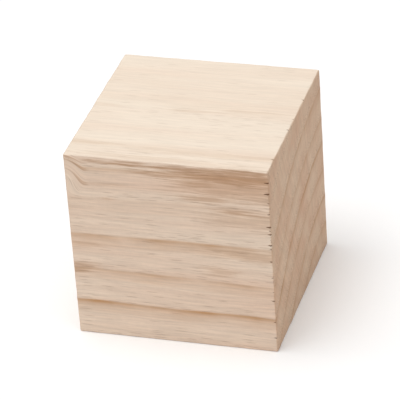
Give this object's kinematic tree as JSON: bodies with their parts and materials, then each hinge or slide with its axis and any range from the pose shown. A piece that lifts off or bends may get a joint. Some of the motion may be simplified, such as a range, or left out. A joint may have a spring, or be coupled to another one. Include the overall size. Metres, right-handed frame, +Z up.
{
  "type": "wooden cube",
  "caption": "Plain bare wooden cube sawn from a single pale block, with crisp edges and faint saw tear-out, for crafts, stacking or painting.",
  "frame": {"origin": "middle of the base face, on the surface that the cube stands on", "axes": "+Z up through the top face, +X along the grain towards the end with the tear-out, -Y out of the front face"},
  "size_m": [0.048, 0.048, 0.048],
  "materials": {
    "bare_wood": "bare, matt, finely sanded long grain and sawn end grain, no oil or varnish"
  },
  "bodies": {
    "root": {"wooden_cube": "bare_wood"}
  },
  "joints": []
}
